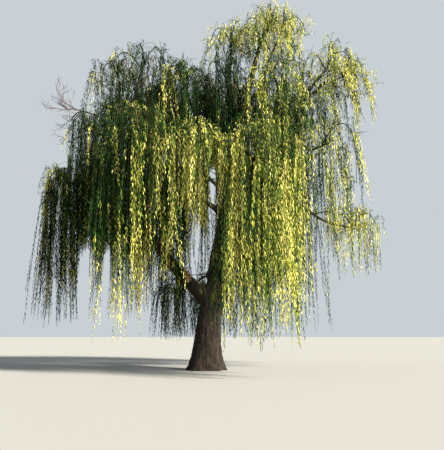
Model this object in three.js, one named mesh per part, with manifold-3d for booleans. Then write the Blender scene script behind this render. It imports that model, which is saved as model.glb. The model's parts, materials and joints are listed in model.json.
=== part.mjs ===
// A mature weeping willow in full leaf, as separate solids: the trunk, its boughs and the hanging masses of
// foliage. Millimetres, +Z up. The origin is the centre of the flat cut under the trunk, at ground level.
// +X is the viewer's right and -Y is towards the viewer. A bearing is an angle in plan, from +X to +Y.
import * as THREE from "three";
import { mergeVertices } from "three/addons/utils/BufferGeometryUtils.js";
import Module from "manifold-3d";

const wasm = await Module();
wasm.setup();

const GOLDEN_TURN = 137.508;
const GAP = 0.3; // between a limb and the collar or stem that it meets

const TRUNK = {
  height: 3500,
  lean: 280,
  girth: 600, // radius above the flare
  top: 470,
  shoulder: 0.75, // the rounding of its upper edge, hidden by the limbs that leave there
  flare: 330, // added to the radius at the ground
  flareHeight: 620,
  buttresses: 6,
  lobeDepth: 0.36,
  crowding: 1.5, // draws the rings together towards the foot
  sides: 18,
  rings: 6,
};

// A bough leaves its parent at a share of the parent's length and ends at a bearing, reach and height from the
// origin. It sets off at the angle rise above the level, ends at the angle level and swings out by its bow.
function bough(from, at, [bearing, reach, height], [root, tip], [rise, level], bow) {
  return { from, at, bearing, reach, height, root, tip, rise, level, bow };
}

// A mass of foliage hangs round its bough's end. It has a spread, the heights of its crest and of its lowest
// tips, and a number of leading twigs.
function mass(name, spread, crest, hem, leaders) {
  return { name, spread, crest, hem, leaders };
}

const BOUGHS = {
  centre_stem: bough("trunk", 0.82, [6, 2700, 15900], [400, 75], [76, 72], -250),
  left_limb: bough("trunk", 0.86, [188, 3150, 13700], [320, 75], [36, 104], 150),
  back_limb: bough("trunk", 0.84, [85, 3600, 13700], [300, 75], [46, 80], -300),
  right_stem: bough("centre_stem", 0.25, [2, 5500, 13900], [250, 70], [42, 48], -1150),
  low_right_bough: bough("right_stem", 0.2, [355, 6300, 6350], [120, 45], [12, -14], 150),
  mid_right_bough: bough("right_stem", 0.5, [335, 5350, 9550], [115, 45], [5, 4], 200),
  far_right_bough: bough("right_stem", 0.82, [357, 6200, 13500], [85, 45], [30, 20], -150),
  upper_back_right_bough: bough("right_stem", 0.56, [36, 4900, 13700], [110, 45], [40, 60], 250),
  upper_front_right_bough: bough("right_stem", 0.64, [320, 4000, 12300], [100, 45], [20, 50], -150),
  front_right_bough: bough("right_stem", 0.38, [302, 5850, 9700], [120, 45], [22, 6], 250),
  front_bough: bough("right_stem", 0.27, [288, 6250, 8300], [120, 45], [26, -4], -300),
  back_right_bough: bough("right_stem", 0.33, [31, 6700, 10900], [125, 45], [30, 30], 300),
  top_right_bough: bough("centre_stem", 0.72, [356, 3450, 15700], [90, 45], [38, 62], -150),
  top_left_bough: bough("centre_stem", 0.6, [30, 1300, 15500], [95, 45], [62, 80], 200),
  upper_front_bough: bough("centre_stem", 0.52, [289, 2800, 12100], [105, 45], [34, 50], 200),
  upper_front_left_bough: bough("centre_stem", 0.44, [246, 2350, 12300], [110, 45], [40, 62], -200),
  front_centre_bough: bough("centre_stem", 0.36, [269, 5000, 8700], [120, 45], [22, 0], 250),
  far_left_bough: bough("left_limb", 0.47, [179, 6350, 8500], [120, 45], [14, -6], 200),
  front_left_bough: bough("left_limb", 0.4, [243, 4950, 9500], [120, 45], [30, 4], 250),
  left_front_bough: bough("left_limb", 0.54, [220, 4750, 10200], [110, 45], [24, 6], -200),
  left_bough: bough("left_limb", 0.6, [185, 5150, 10800], [105, 45], [28, 22], -150),
  upper_left_bough: bough("left_limb", 0.7, [180, 4250, 13500], [95, 45], [46, 70], 200),
  back_left_bough: bough("left_limb", 0.33, [147, 6600, 9900], [135, 45], [30, 10], -300),
  rear_left_bough: bough("back_limb", 0.46, [121, 6500, 10700], [130, 45], [34, 20], 300),
  rear_bough: bough("back_limb", 0.56, [82, 6450, 11100], [120, 45], [24, 16], 250),
  rear_right_bough: bough("back_limb", 0.28, [55, 6600, 10800], [135, 45], [34, 24], -300),
  upper_back_left_bough: bough("back_limb", 0.58, [126, 3900, 13300], [105, 45], [36, 60], -200),
  dead_bough: bough("upper_left_bough", 0.3, [180, 5750, 11950], [60, 38], [8, 14], 60),
  low_rear_bough: bough("back_limb", 0.17, [104, 3700, 4050], [80, 42], [6, -6], -150),
};

// Each mass hangs from the bough of the same key.
const MASSES = {
  centre_stem: mass("top_foliage", 1500, 17500, 13400, 5),
  top_right_bough: mass("top_right_foliage", 1150, 17000, 12900, 4),
  top_left_bough: mass("top_left_foliage", 1200, 16900, 13700, 4),
  right_stem: mass("upper_right_foliage", 1500, 15600, 10400, 4),
  far_right_bough: mass("far_right_foliage", 1200, 14500, 10500, 4),
  mid_right_bough: mass("mid_right_foliage", 1500, 10900, 5300, 4),
  low_right_bough: mass("low_right_foliage", 1250, 7250, 3850, 4),
  front_right_bough: mass("front_right_curtain", 1050, 10800, 1000, 5),
  front_bough: mass("front_curtain", 1200, 9400, 950, 5),
  front_centre_bough: mass("front_centre_foliage", 1250, 9700, 5600, 4),
  front_left_bough: mass("front_left_curtain", 1200, 10600, 2600, 5),
  left_front_bough: mass("left_front_curtain", 1150, 11300, 1100, 5),
  left_bough: mass("left_foliage", 1050, 11900, 3100, 4),
  far_left_bough: mass("far_left_curtain", 950, 9400, 1900, 5),
  upper_left_bough: mass("upper_left_foliage", 800, 14800, 9300, 4),
  left_limb: mass("left_crown_foliage", 1450, 15100, 8600, 4),
  upper_front_left_bough: mass("upper_front_left_foliage", 1350, 13500, 8300, 4),
  upper_front_bough: mass("upper_front_foliage", 1250, 13300, 7900, 4),
  upper_front_right_bough: mass("upper_front_right_foliage", 1400, 13500, 8400, 4),
  back_right_bough: mass("back_right_foliage", 1500, 12200, 5800, 4),
  rear_right_bough: mass("rear_right_curtain", 1500, 12100, 1500, 5),
  rear_bough: mass("rear_curtain", 1500, 12400, 1500, 5),
  rear_left_bough: mass("rear_left_curtain", 1600, 12000, 2200, 4),
  back_left_bough: mass("back_left_foliage", 1550, 11200, 3000, 4),
  back_limb: mass("back_crown_foliage", 1600, 15200, 8800, 4),
  upper_back_left_bough: mass("upper_back_left_foliage", 1450, 14600, 9200, 4),
  upper_back_right_bough: mass("upper_back_right_foliage", 1450, 15100, 9300, 4),
  low_rear_bough: mass("low_rear_foliage", 1500, 4500, 1300, 4),
};

// Bare dead twigs that stand out of the crown on the left, on a bough of their own.
const DEAD_TWIGS = {
  on: "dead_bough",
  count: 4,
  length: 1750,
  fan: 80, // degrees from the lowest to the highest
  spread: 30,
  lift: 25,
  bow: 60,
  crook: 25,
  step: 700,
  root: 26,
  tip: 12,
};

// The twigs of a mass leave its stem between the lowest and the highest share of its length.
const STEM = { length: 620, taper: 0.9, sides: 6, lowest: 0.3, highest: 0.94 };
const TWIG = { root: 32, tip: 15, sides: 3, wander: 0.14 };

// The shape of a leading twig, as shares of its reach and of its rise above its foot.
const ARCH = { climb: 0.32, climbed: 0.75, crest: 0.7, fall: 0.35, droop: 0.3, dome: 0.25 };

// A spray's angles are from plumb: arching at the crest, hanging below it and plumb at the end.
const SPRAY = { length: 1900, least: 0.85, most: 1.15, width: 560, thickness: 32, widest: 0.4 };
const HUNG = { spacing: 1800, sunk: 40 }; // sprays along a leader, and how far the last is sunk in its end
const TILT = { arching: 50, hanging: 15, plumb: 3, twist: 40 };
const ARCHING_LENGTH = 0.72; // an arching spray's length, as a share of a hanging one's

const CLEARANCE = 12; // least room between masses, round a limb and between sprays
const TWIG_SHARES = [1, 0.85, 0.7, 0.55, 0.4];
const TWIG_SHIFTS = [0, 15, -15, 30, -30, 50, -50];
const SPRAY_SHIFTS = [0, 50, -50, 100, -100, 150];
const SPRAY_MARKS = [0.25, 0.5, 0.75, 1]; // where along a spray the sky gaps are looked for

const SMALL_LIMB = { sides: 5, step: 1150 };
const LARGE_LIMB = { sides: 8, step: 1250, over: 200 }; // for limbs whose root is over this radius
const LIMB = { handle: 0.4, crook: 60, crookStep: 20, sideways: 9, upwards: 13, taper: 0.8 };
const COLLAR = { step: 25, spare: 45 }; // how finely its length is sought, and its room past the parent's bark
const SHORTEST_PIECE = 80; // of a tube, at its ends

// The open sky inside the crown, seen from the eye: ellipses on the upright plane through the trunk.
const EYE = new THREE.Vector3(680, -29500, 1550);
const SKY = [
  { x: -470, height: 5330, across: 430, up: 1250 },
  { x: -5520, height: 4450, across: 300, up: 1200 },
  { x: -4560, height: 4600, across: 220, up: 900 },
  { x: 250, height: 8800, across: 190, up: 480 },
];

const { lerp, degToRad, radToDeg } = THREE.MathUtils;

// Repeatable random numbers from 0 to 1.
function seeded(seed) {
  let state = seed >>> 0;
  return () => {
    state = (state + 0x6d2b79f5) >>> 0;
    let t = state;
    t = Math.imul(t ^ (t >>> 15), t | 1);
    t ^= t + Math.imul(t ^ (t >>> 7), t | 61);
    return ((t ^ (t >>> 14)) >>> 0) / 4294967296;
  };
}

// A unit vector at a bearing and an angle above the level.
function heading(bearing, rise) {
  const level = Math.cos(degToRad(rise));
  return new THREE.Vector3(
    level * Math.cos(degToRad(bearing)),
    level * Math.sin(degToRad(bearing)),
    Math.sin(degToRad(rise)),
  );
}

function bearingOf(v) {
  return radToDeg(Math.atan2(v.y, v.x));
}

// The middle line of a limb or twig: straight pieces between points, measured in millimetres from its foot.
class MiddleLine {
  constructor(points, side) {
    this.points = points;
    this.side = side;
    this.marks = [0];
    points.slice(1).forEach((p, i) => this.marks.push(this.marks[i] + p.distanceTo(points[i])));
    this.length = this.marks.at(-1);
  }

  piece(s) {
    const next = this.marks.findIndex((mark, i) => i > 0 && s <= mark + 1e-6);
    return next < 0 ? this.points.length - 2 : next - 1;
  }

  at(s) {
    const i = this.piece(s);
    const share = (s - this.marks[i]) / (this.marks[i + 1] - this.marks[i]);
    return this.points[i].clone().lerp(this.points[i + 1], share);
  }

  // The direction at s: that of its piece, or midway between two pieces where they meet.
  along(s) {
    const i = this.piece(s);
    const own = this.points[i + 1].clone().sub(this.points[i]).normalize();
    const meets = Math.abs(s - this.marks[i + 1]) < 1 && i + 2 < this.points.length;
    if (!meets) return own;
    return own.add(this.points[i + 2].clone().sub(this.points[i + 1]).normalize()).normalize();
  }

  // Evenly spaced points from the foot up to a length.
  upTo(length, count) {
    return Array.from({ length: count + 1 }, (_, i) => this.at((length * i) / count));
  }
}

// A limb's middle line: a Bezier curve that bows to one side, with a slight crook along it.
function limbLine(start, end, row, crook, step) {
  const chord = end.clone().sub(start);
  const plan = bearingOf(chord);
  const handle = chord.length() * LIMB.handle;
  const side = heading(plan + 90, 0);
  const bezier = new THREE.CubicBezierCurve3(
    start,
    start.clone().addScaledVector(heading(plan, row.rise), handle),
    end.clone().addScaledVector(heading(plan, row.level), -handle),
    end,
  );
  const pieces = Math.max(3, Math.round(chord.length() / step));
  const points = bezier.getPoints(pieces).map((point, i) => {
    const t = i / pieces;
    const swing = Math.sin(Math.PI * t);
    point.addScaledVector(side, row.bow * swing * swing + crook * swing * Math.sin(LIMB.sideways * t));
    point.z += crook * swing * Math.sin(LIMB.upwards * t);
    return point;
  });
  return new MiddleLine(points, side);
}

// Drops a geometry to its bare positions and makes it a closed solid.
function solidOf(geometry) {
  geometry.deleteAttribute("normal");
  geometry.deleteAttribute("uv");
  const merged = mergeVertices(geometry, 1e-3);
  return new wasm.Manifold(
    new wasm.Mesh({
      numProp: 3,
      vertProperties: merged.attributes.position.array,
      triVerts: new Uint32Array(merged.index.array),
    }),
  );
}

// Joins solids into one closed shell: a hollow sealed inside is filled and a loose scrap is dropped.
function fused(solids) {
  const shells = wasm.Manifold.union(solids).decompose();
  return shells.reduce((a, b) => (b.volume() > a.volume() ? b : a));
}

// A tapered tube along a middle line between two lengths: a cylinder bent on to the line.
function tube(line, from, to, radiusAt, sides) {
  const inner = line.marks.filter((mark) => mark > from + SHORTEST_PIECE && mark < to - SHORTEST_PIECE);
  const stops = [from, ...inner, to];
  const geometry = new THREE.CylinderGeometry(1, 1, 1, sides, stops.length - 1);
  const position = geometry.attributes.position;
  const v = new THREE.Vector3();
  for (let i = 0; i < position.count; i++) {
    v.fromBufferAttribute(position, i);
    const s = stops[Math.round((v.y + 0.5) * (stops.length - 1))];
    const along = line.along(s);
    const across = line.side.clone().projectOnPlane(along).normalize();
    const third = across.clone().cross(along);
    const radius = radiusAt(s / line.length);
    const point = line.at(s).addScaledVector(across, v.x * radius).addScaledVector(third, v.z * radius);
    position.setXYZ(i, point.x, point.y, point.z);
  }
  return solidOf(geometry);
}

function trunkCentre(share) {
  return new THREE.Vector3(TRUNK.lean * share * share, 0, TRUNK.height * share);
}

function trunkRadius(share) {
  return lerp(TRUNK.girth, TRUNK.top, share);
}

// The trunk: tapered and leaning, spread at the foot by rounded buttresses, and cut flat at the ground.
function trunkSolid() {
  const geometry = new THREE.CylinderGeometry(1, 1, 1, TRUNK.sides, TRUNK.rings);
  const position = geometry.attributes.position;
  const v = new THREE.Vector3();
  for (let i = 0; i < position.count; i++) {
    v.fromBufferAttribute(position, i);
    const share = (v.y + 0.5) ** TRUNK.crowding;
    const turn = Math.atan2(v.z, v.x);
    const lobes = 1 - TRUNK.lobeDepth * (1 - Math.cos(TRUNK.buttresses * turn + Math.sin(2 * turn)));
    const flare = TRUNK.flare * lobes * Math.exp((-share * TRUNK.height) / TRUNK.flareHeight);
    const radius = (trunkRadius(share) + flare) * (share === 1 ? TRUNK.shoulder : 1);
    const centre = trunkCentre(share);
    position.setXYZ(i, centre.x + v.x * radius, centre.y - v.z * radius, centre.z);
  }
  return solidOf(geometry);
}

// The trunk, and every bough with the collars that its own side boughs start from.
const limbs = {
  trunk: {
    line: new MiddleLine([0, 0.25, 0.5, 0.75, 1].map(trunkCentre), heading(90, 0)),
    radiusAt: trunkRadius,
    start: 0,
    collars: [],
  },
};

// How far a point lies outside a limb's bark.
function outside(limb, point) {
  const count = 60;
  const gaps = limb.line
    .upTo(limb.line.length, count)
    .map((centre, i) => centre.distanceTo(point) - limb.radiusAt(i / count));
  return Math.min(...gaps);
}

// Lays out a bough's middle line, and the collar on its parent that runs until the bough is clear of the bark.
function layOut(name, row, index) {
  const parent = limbs[row.from];
  const foot = parent.line.at(parent.line.length * row.at);
  const end = heading(row.bearing, 0).multiplyScalar(row.reach).setZ(row.height);
  const kind = row.root > LARGE_LIMB.over ? LARGE_LIMB : SMALL_LIMB;
  const line = limbLine(foot, end, row, LIMB.crook + LIMB.crookStep * (index % 3), kind.step);
  const radiusAt = (share) => lerp(row.root, row.tip, share ** LIMB.taper);
  const needed = (s) => radiusAt(s / line.length) + COLLAR.spare;
  let collar = COLLAR.step;
  while (outside(parent, line.at(collar)) < needed(collar)) collar += COLLAR.step;
  limbs[name] = { line, radiusAt, start: collar + GAP, sides: kind.sides, collars: [] };
  parent.collars.push({ line, radiusAt, to: collar, sides: kind.sides });
}

Object.entries(BOUGHS).forEach(([name, row], index) => layOut(name, row, index));

function limbSolid(limb) {
  const { line, start, radiusAt, sides, collars } = limb;
  const own = limb === limbs.trunk ? trunkSolid() : tube(line, start, line.length, radiusAt, sides);
  return fused([own, ...collars.map((c) => tube(c.line, 0, c.to, c.radiusAt, c.sides))]);
}

// What stands already, so that twigs and sprays can keep clear of it.
const standing = [];

function stand(solid, node, kind) {
  const { min, max } = solid.boundingBox();
  standing.push({ solid, node, kind, min, max });
}

// Whether a twig or spray is clear of every other node, and a spray of every other spray too.
function hasRoom(solid, node, kind) {
  const { min, max } = solid.boundingBox();
  return standing.every((other) => {
    if (other.node === node && (kind === "twig" || other.kind === "twig")) return true;
    const apart = min.some((low, i) => low > other.max[i] + CLEARANCE || max[i] < other.min[i] - CLEARANCE);
    return apart || solid.minGap(other.solid, CLEARANCE) >= CLEARANCE;
  });
}

// Whether the eye sees this point inside one of the sky gaps.
function inSky(point) {
  const scale = -EYE.y / (point.y - EYE.y);
  const x = EYE.x + (point.x - EYE.x) * scale;
  const height = EYE.z + (point.z - EYE.z) * scale;
  return SKY.some((gap) => Math.hypot((x - gap.x) / gap.across, (height - gap.height) / gap.up) < 1);
}

// A mass's short stem, which goes on from its bough's end.
function stemOf(key) {
  const bough = limbs[key];
  const tip = bough.line.at(bough.line.length);
  const along = bough.line.along(bough.line.length);
  const ends = [GAP, STEM.length].map((s) => tip.clone().addScaledVector(along, s));
  const line = new MiddleLine(ends, bough.line.side);
  const radius = bough.radiusAt(1) * STEM.taper;
  return { line, solid: tube(line, 0, line.length, () => radius, STEM.sides) };
}

// The leading twigs of a mass, each a golden angle on from the last, that arch over its crest and hang plumb.
function leadersOf(stem, row, index) {
  const random = seeded(index + 11);
  const outward = bearingOf(stem.points[0]);
  return Array.from({ length: row.leaders }, (_, k) => {
    const share = Math.sqrt((k + 0.7) / (row.leaders - 0.3));
    const foot = stem.at(stem.length * lerp(STEM.highest, STEM.lowest, k / (row.leaders - 1)));
    const turn = outward + GOLDEN_TURN * (row.leaders - 1 - k);
    const reach = row.spread * share;
    const crest = foot.z + (row.crest - foot.z) * (1 - ARCH.dome * share * share);
    const end = row.hem + SPRAY.length * SPRAY.most + (row.crest - row.hem) * TWIG.wander * random();
    return { foot, turn, reach, crest, end };
  });
}

function leaderLine({ foot, reach, crest, end }, turn) {
  const out = (share, height) => foot.clone().addScaledVector(heading(turn, 0), reach * share).setZ(height);
  const rise = crest - foot.z;
  const points = [
    foot,
    out(ARCH.climb, foot.z + rise * ARCH.climbed),
    out(ARCH.crest, crest),
    out(1, crest - rise * ARCH.fall - reach * ARCH.droop),
    out(1, end),
  ];
  return new MiddleLine(points, heading(turn + 90, 0));
}

// A leading twig as long as there is room for it, turned from its own bearing where that gives it more.
function grownLeader(leader, name) {
  const radiusAt = (share) => lerp(TWIG.root, TWIG.tip, share);
  for (const share of TWIG_SHARES) {
    for (const shift of TWIG_SHIFTS) {
      const line = leaderLine(leader, leader.turn + shift);
      const free = line.length * share;
      if (line.upTo(free, 40).some(inSky)) continue;
      const solid = tube(line, 0, free, radiusAt, TWIG.sides);
      if (hasRoom(solid, name, "twig")) return { line, free, solid, turn: leader.turn + shift };
    }
  }
  return null;
}

// A spray of leaves as one pointed blade: a tetrahedron drawn out flat from its root to its point.
function spraySolid(root, along, across, length) {
  const geometry = new THREE.TetrahedronGeometry(1);
  const position = geometry.attributes.position;
  const third = across.clone().cross(along);
  const v = new THREE.Vector3();
  for (let i = 0; i < position.count; i++) {
    v.fromBufferAttribute(position, i);
    const onSpine = v.z > 0;
    const share = onSpine ? Number(v.x > 0) : SPRAY.widest;
    const point = root
      .clone()
      .addScaledVector(along, share * length)
      .addScaledVector(across, onSpine ? 0 : (Math.sign(v.x) * SPRAY.width) / 2)
      .addScaledVector(third, onSpine ? 0 : -SPRAY.thickness);
    position.setXYZ(i, point.x, point.y, point.z);
  }
  return solidOf(geometry);
}

// Hangs sprays along a leader: the first arches on outwards from its crest, the last hangs plumb from its end,
// and each between is turned a golden angle on from the one before. One that has no room is skipped.
function hungSprays({ line, free, turn }, row, random) {
  const solids = [];
  const first = Math.min(line.marks[2], free / 2);
  const count = Math.max(2, Math.round((free - first) / HUNG.spacing) + 1);
  for (let j = 0; j < count; j++) {
    const arching = j === 0;
    const plumb = j === count - 1;
    const root = line.at(lerp(first, free - HUNG.sunk, j / (count - 1)));
    const length = SPRAY.length * lerp(SPRAY.least, SPRAY.most, random()) * (arching ? ARCHING_LENGTH : 1);
    const twist = TILT.twist * (2 * random() - 1);
    const tilt = arching ? TILT.arching : plumb ? TILT.plumb : TILT.hanging;
    for (const shift of SPRAY_SHIFTS) {
      const bearing = turn + (arching ? 0 : GOLDEN_TURN * j) + shift;
      const along = heading(bearing, tilt - 90);
      const marks = SPRAY_MARKS.map((share) => root.clone().addScaledVector(along, share * length));
      if (marks.at(-1).z < row.hem || marks.some(inSky)) continue;
      const across = heading(bearing + 90 + twist, 0).projectOnPlane(along).normalize();
      const solid = spraySolid(root, along, across, length);
      if (!hasRoom(solid, row.name, "spray")) continue;
      stand(solid, row.name, "spray");
      solids.push(solid);
      break;
    }
  }
  return solids;
}

// The frame of a mass: its stem, and its leading twigs as far as each has room.
function massFrame(key, row, index) {
  const { solid, line } = stemOf(key);
  stand(solid, row.name, "twig");
  const leaders = [];
  for (const leader of leadersOf(line, row, index)) {
    const grown = grownLeader(leader, row.name);
    if (!grown) continue;
    stand(grown.solid, row.name, "twig");
    leaders.push(grown);
  }
  return { stem: solid, leaders };
}

// The dead twigs: a short stem and bare twigs that fan out and curve upwards.
function deadSolid() {
  const stem = stemOf(DEAD_TWIGS.on);
  const solids = [stem.solid];
  for (let k = 0; k < DEAD_TWIGS.count; k++) {
    const share = k / (DEAD_TWIGS.count - 1);
    const climb = DEAD_TWIGS.fan * (share - 0.5);
    const foot = stem.line.at(stem.line.length * lerp(STEM.lowest, STEM.highest, share));
    const aim = heading(180 + DEAD_TWIGS.spread * Math.sin(4 * k), climb);
    const tip = foot.clone().addScaledVector(aim, DEAD_TWIGS.length * (1 - 0.3 * (k % 2)));
    const bend = { rise: climb / 2, level: climb + DEAD_TWIGS.lift, bow: DEAD_TWIGS.bow };
    const line = limbLine(foot, tip, bend, DEAD_TWIGS.crook, DEAD_TWIGS.step);
    const radiusAt = (s) => lerp(DEAD_TWIGS.root, DEAD_TWIGS.tip, s);
    solids.push(tube(line, 0, line.length, radiusAt, TWIG.sides));
  }
  return fused(solids);
}

const bark = new THREE.MeshStandardMaterial({ color: 0x4a3b2e, roughness: 0.95, metalness: 0 });
const deadWood = new THREE.MeshStandardMaterial({ color: 0x8a7f78, roughness: 0.9, metalness: 0 });
const foliage = new THREE.MeshStandardMaterial({ color: 0x8f9c34, roughness: 0.7, metalness: 0 });

// A named mesh of a solid, with its own origin at its foot.
function meshOf(name, solid, foot, material) {
  const { vertProperties, triVerts } = solid.getMesh();
  const geometry = new THREE.BufferGeometry();
  geometry.setAttribute("position", new THREE.BufferAttribute(vertProperties, 3));
  geometry.setIndex(new THREE.BufferAttribute(triVerts, 1));
  geometry.translate(-foot.x, -foot.y, -foot.z);
  geometry.computeVertexNormals();
  const mesh = new THREE.Mesh(geometry, material);
  mesh.name = name;
  mesh.position.copy(foot);
  return mesh;
}

const tree = new THREE.Group();

for (const [name, limb] of Object.entries(limbs)) {
  const solid = limbSolid(limb);
  const material = name === DEAD_TWIGS.on ? deadWood : bark;
  tree.add(meshOf(name, solid, limb.line.at(limb.start), material));
  stand(solid, name, "limb");
}
const dead = deadSolid();
tree.add(meshOf("dead_twigs", dead, limbs[DEAD_TWIGS.on].line.points.at(-1), deadWood));
stand(dead, "dead_twigs", "limb");

// Every mass has its leading twigs before any gets its sprays, so that none crowds out its neighbours.
const frames = Object.entries(MASSES).map(([key, row], index) => massFrame(key, row, index));
Object.entries(MASSES).forEach(([key, row], index) => {
  const { stem, leaders } = frames[index];
  const random = seeded(index + 401);
  const sprays = leaders.flatMap((leader) => hungSprays(leader, row, random));
  const solid = fused([stem, ...leaders.map((leader) => leader.solid), ...sprays]);
  tree.add(meshOf(row.name, solid, limbs[key].line.points.at(-1), foliage));
});

export default tree;
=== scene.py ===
"""A mature weeping willow in full leaf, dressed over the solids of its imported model.

The limbs and the leading twigs are laid out again from the solids' own named sizes, in millimetres, and
grow on by the same rule into finer twigs, hung with leaves. +X is the viewer's right and -Y is towards the
viewer, and a bearing is an angle in plan, from +X to +Y.
"""

import json
import math
from types import SimpleNamespace as Rule

import bpy
import numpy as np
from numpy.random import default_rng
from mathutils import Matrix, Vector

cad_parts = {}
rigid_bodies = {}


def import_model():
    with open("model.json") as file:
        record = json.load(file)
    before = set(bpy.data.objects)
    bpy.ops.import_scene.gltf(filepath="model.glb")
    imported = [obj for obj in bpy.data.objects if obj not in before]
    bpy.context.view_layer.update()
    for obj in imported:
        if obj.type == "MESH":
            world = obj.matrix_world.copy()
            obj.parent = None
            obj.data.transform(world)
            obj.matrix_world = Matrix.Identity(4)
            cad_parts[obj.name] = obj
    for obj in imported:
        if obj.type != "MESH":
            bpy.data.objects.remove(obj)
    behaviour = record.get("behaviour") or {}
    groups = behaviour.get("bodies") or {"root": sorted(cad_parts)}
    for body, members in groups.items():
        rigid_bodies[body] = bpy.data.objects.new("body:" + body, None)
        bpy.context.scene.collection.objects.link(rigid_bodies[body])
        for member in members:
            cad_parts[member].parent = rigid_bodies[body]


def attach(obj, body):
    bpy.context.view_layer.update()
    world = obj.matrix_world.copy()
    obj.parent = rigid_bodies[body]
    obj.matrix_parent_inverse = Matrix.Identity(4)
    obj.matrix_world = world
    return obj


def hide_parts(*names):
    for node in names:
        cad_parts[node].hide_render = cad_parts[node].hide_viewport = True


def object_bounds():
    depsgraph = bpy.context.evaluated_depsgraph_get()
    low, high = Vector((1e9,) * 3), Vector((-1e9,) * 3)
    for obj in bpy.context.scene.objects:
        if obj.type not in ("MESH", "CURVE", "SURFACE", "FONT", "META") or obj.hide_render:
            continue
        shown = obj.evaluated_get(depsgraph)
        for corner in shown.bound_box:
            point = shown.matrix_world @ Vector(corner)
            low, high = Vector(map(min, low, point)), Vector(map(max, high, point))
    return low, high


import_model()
CAD_BOX = [list(corner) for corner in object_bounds()]

MM = 0.001
GOLDEN_TURN = 137.508  # degrees from one of a row of things to the next

TRUNK = Rule(height=3500, lean=280, girth=600, top=470, rings=104, sides=168)
TRUNK_TOP = Rule(dome=0.84, domed=0.5)  # where it begins to round off, and its radius at the end, as shares
FLARE = Rule(most=330, height=620, buttresses=6, depth=0.36)
LIMB = Rule(handle=0.4, crook=60, crook_step=20, sideways=9, upwards=13, taper=0.8, step=150)
# The rings of a limb's mesh, closer together where its root is thick.
RINGS = Rule(thick=200, close=90, wide=130, side=46, sides=(12, 52), smooth=120)
COLLAR = Rule(swell=0.4, run=1.1, inside=0.85)  # a limb is thicker where it leaves its parent
# The bark's relief is broad lumps, and cells parted by furrows in a coarse net and a finer, shallower one.
BARK = Rule(cell=150, run=430, fewest_cells=4, nets=((1, 1.0), (2, 0.45)), furrow=0.34, ridge=0.35)
BARK_DEPTH = Rule(share=0.062, most=30)
LUMPS = Rule(height=0.07, run=1100, round=3)
NOISE_ROWS = 97

BOUGH_TIP = 60  # the main stems are thicker than this at their ends
UPRIGHT = 45  # a bough that ends steeper than this has side twigs all round
# A stem, sunk into a bough's end, goes on from it and carries the leading twigs.
STEM = Rule(length=620, sunk=40, taper=0.9, tip=0.6, sides=8, lowest=0.3, highest=0.94)
LEADER = Rule(root=32, tip=12, sides=4, first=0.7, wander=0.14, spray=2185)
ARCH = Rule(climb=0.32, climbed=0.75, crest=0.7, fall=0.35, droop=0.3, dome=0.25)
OVER = Rule(least_rise=120, over=1.12, lift=0.1)  # how a strand goes over its crest


def table(keys, rows):
    """Rules by name, from rows of a name and a value for each key."""
    return {name: Rule(**dict(zip(keys.split(), values))) for name, *values in rows}


# A bough leaves its parent at a share of its length and ends at a bearing, reach and height. Its radii and
# its angles above the level are those at its root and at its end, and it bows to one side.
BOUGHS = table("parent at end radii angles bow", (
    ("centre_stem", "trunk", 0.82, (6, 2700, 15900), (400, 75), (76, 72), -250),
    ("left_limb", "trunk", 0.86, (188, 3150, 13700), (320, 75), (36, 104), 150),
    ("back_limb", "trunk", 0.84, (85, 3600, 13700), (300, 75), (46, 80), -300),
    ("right_stem", "centre_stem", 0.25, (2, 5500, 13900), (250, 70), (42, 48), -1150),
    ("low_right_bough", "right_stem", 0.2, (355, 6300, 6350), (120, 45), (12, -14), 150),
    ("mid_right_bough", "right_stem", 0.5, (335, 5350, 9550), (115, 45), (5, 4), 200),
    ("far_right_bough", "right_stem", 0.82, (357, 6200, 13500), (85, 45), (30, 20), -150),
    ("upper_back_right_bough", "right_stem", 0.56, (36, 4900, 13700), (110, 45), (40, 60), 250),
    ("upper_front_right_bough", "right_stem", 0.64, (320, 4000, 12300), (100, 45), (20, 50), -150),
    ("front_right_bough", "right_stem", 0.38, (302, 5850, 9700), (120, 45), (22, 6), 250),
    ("front_bough", "right_stem", 0.27, (288, 6250, 8300), (120, 45), (26, -4), -300),
    ("back_right_bough", "right_stem", 0.33, (31, 6700, 10900), (125, 45), (30, 30), 300),
    ("top_right_bough", "centre_stem", 0.72, (356, 3450, 15700), (90, 45), (38, 62), -150),
    ("top_left_bough", "centre_stem", 0.6, (30, 1300, 15500), (95, 45), (62, 80), 200),
    ("upper_front_bough", "centre_stem", 0.52, (289, 2800, 12100), (105, 45), (34, 50), 200),
    ("upper_front_left_bough", "centre_stem", 0.44, (246, 2350, 12300), (110, 45), (40, 62), -200),
    ("front_centre_bough", "centre_stem", 0.36, (269, 5000, 8700), (120, 45), (22, 0), 250),
    ("far_left_bough", "left_limb", 0.47, (179, 6350, 8500), (120, 45), (14, -6), 200),
    ("front_left_bough", "left_limb", 0.4, (243, 4950, 9500), (120, 45), (30, 4), 250),
    ("left_front_bough", "left_limb", 0.54, (220, 4750, 10200), (110, 45), (24, 6), -200),
    ("left_bough", "left_limb", 0.6, (185, 5150, 10800), (105, 45), (28, 22), -150),
    ("upper_left_bough", "left_limb", 0.7, (180, 4250, 13500), (95, 45), (46, 70), 200),
    ("back_left_bough", "left_limb", 0.33, (147, 6600, 9900), (135, 45), (30, 10), -300),
    ("rear_left_bough", "back_limb", 0.46, (121, 6500, 10700), (130, 45), (34, 20), 300),
    ("rear_bough", "back_limb", 0.56, (82, 6450, 11100), (120, 45), (24, 16), 250),
    ("rear_right_bough", "back_limb", 0.28, (55, 6600, 10800), (135, 45), (34, 24), -300),
    ("upper_back_left_bough", "back_limb", 0.58, (126, 3900, 13300), (105, 45), (36, 60), -200),
    ("dead_bough", "upper_left_bough", 0.3, (180, 5750, 11950), (60, 38), (8, 14), 60),
    ("low_rear_bough", "back_limb", 0.17, (104, 3700, 4050), (80, 42), (6, -6), -150),
))

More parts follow.
